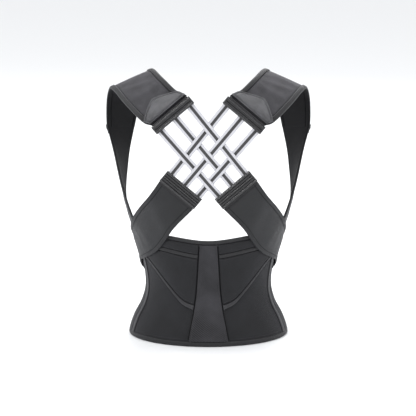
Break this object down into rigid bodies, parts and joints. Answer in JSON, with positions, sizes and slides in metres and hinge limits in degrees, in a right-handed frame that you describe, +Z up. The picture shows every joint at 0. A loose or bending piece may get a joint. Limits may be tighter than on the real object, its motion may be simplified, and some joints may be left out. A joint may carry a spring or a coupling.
{
  "type": "posture back brace",
  "caption": "Posture back brace: a flared waist panel, crossed straps joined by a woven lattice of elastic bands, padded shoulder loops and front flaps that open.",
  "frame": {"origin": "on the centre line of the torso that the brace goes round, at the height of the hem", "axes": "+Z up along the torso, +Y the way the wearer faces, +X to the wearer's right"},
  "size_m": [0.3722, 0.2268, 0.482],
  "materials": {
    "band_webbing": "woven elastic, pale with a dark centre line",
    "patch_leather": "soft grained synthetic leather",
    "housing_cover": "ribbed, slightly glossy tape",
    "bar_plastic": "moulded rod",
    "stay_plastic": "flexible strip",
    "lining_cloth": "brushed knit",
    "hook_tape": "hook tape",
    "loop_cloth": "loop pile",
    "gusset_elastic": "ribbed elastic",
    "edge_tape": "stitched binding tape",
    "ribbed_cloth": "diagonal rib",
    "pad_cloth": "stretch knit over foam",
    "strap_cloth": "bonded stretch cloth",
    "panel_cloth": "bonded stretch cloth"
  },
  "bodies": {
    "root": {"back_lining": "lining_cloth", "back_panel_left": "panel_cloth", "back_panel_right": "panel_cloth", "back_stays": "stay_plastic", "band_left_inner": "band_webbing", "band_left_middle": "band_webbing", "band_left_outer": "band_webbing", "band_right_inner": "band_webbing", "band_right_middle": "band_webbing", "band_right_outer": "band_webbing", "center_strip": "ribbed_cloth", "gusset_left": "gusset_elastic", "gusset_right": "gusset_elastic", "hem_binding": "edge_tape", "lower_bar_left": "bar_plastic", "lower_bar_right": "bar_plastic", "lower_housing_left": "housing_cover", "lower_housing_right": "housing_cover", "lower_strap_left": "strap_cloth", "lower_strap_right": "strap_cloth", "side_panel_left": "panel_cloth", "side_panel_right": "panel_cloth", "side_strap_left": "strap_cloth", "side_strap_right": "strap_cloth", "top_binding": "edge_tape", "wing_left": "panel_cloth", "wing_right": "panel_cloth", "wing_tape_left": "edge_tape", "wing_tape_right": "edge_tape", "yoke_left": "panel_cloth", "yoke_right": "panel_cloth", "yoke_tape_left": "edge_tape", "yoke_tape_right": "edge_tape"},
    "shoulder_left": {"pad_edge_inner_left": "edge_tape", "pad_edge_outer_left": "edge_tape", "patch_left": "patch_leather", "shoulder_pad_left": "pad_cloth", "underarm_strap_left": "strap_cloth", "upper_bar_left": "bar_plastic", "upper_housing_left": "housing_cover"},
    "shoulder_right": {"pad_edge_inner_right": "edge_tape", "pad_edge_outer_right": "edge_tape", "patch_right": "patch_leather", "shoulder_pad_right": "pad_cloth", "underarm_strap_right": "strap_cloth", "upper_bar_right": "bar_plastic", "upper_housing_right": "housing_cover"},
    "flap_left": {"flap_binding_left": "edge_tape", "front_flap_left": "panel_cloth", "loop_panel": "loop_cloth"},
    "flap_right": {"flap_binding_right": "edge_tape", "front_flap_right": "panel_cloth", "hook_patch": "hook_tape"},
    "pull_left": {"pull_hook_left": "hook_tape", "pull_strap_left": "strap_cloth", "pull_tab_left": "strap_cloth"},
    "pull_right": {"pull_hook_right": "hook_tape", "pull_strap_right": "strap_cloth", "pull_tab_right": "strap_cloth"}
  },
  "joints": [
    {"name": "right_flap_open", "type": "hinge", "parent": "root", "child": "flap_right", "pos_m": [0.128, 0.01, 0.075], "axis": [0, 0, -1], "range_deg": [0, 50], "deforming": ["gusset_right", "side_strap_right"]},
    {"name": "left_flap_open", "type": "hinge", "parent": "root", "child": "flap_left", "pos_m": [-0.128, 0.01, 0.075], "axis": [0, 0, 1], "range_deg": [0, 25], "deforming": ["gusset_left", "side_strap_left"]},
    {"name": "left_pull_peel", "type": "hinge", "parent": "flap_left", "child": "pull_left", "pos_m": [-0.1165, 0.0328, 0.1342], "axis": [0.1214, 0.6449, 0.7545], "range_deg": [0, 70]},
    {"name": "right_pull_peel", "type": "hinge", "parent": "flap_right", "child": "pull_right", "pos_m": [0.1165, 0.0328, 0.1342], "axis": [0.1214, -0.6449, -0.7545], "range_deg": [0, 70]},
    {"name": "left_shoulder_stretch", "type": "slide", "parent": "root", "child": "shoulder_left", "axis": [-0.6435, 0.0712, 0.7621], "range_m": [0, 0.025], "stiffness_N_per_m": 300, "deforming": ["band_left_inner", "band_left_middle", "band_left_outer", "underarm_strap_left"]},
    {"name": "right_shoulder_stretch", "type": "slide", "parent": "root", "child": "shoulder_right", "axis": [0.6435, 0.0712, 0.7621], "range_m": [0, 0.025], "stiffness_N_per_m": 300, "deforming": ["band_right_inner", "band_right_middle", "band_right_outer", "underarm_strap_right"]}
  ],
  "couplings": [
    {"joint": "left_flap_open", "follows": "right_flap_open", "ratio": 0.5}
  ]
}
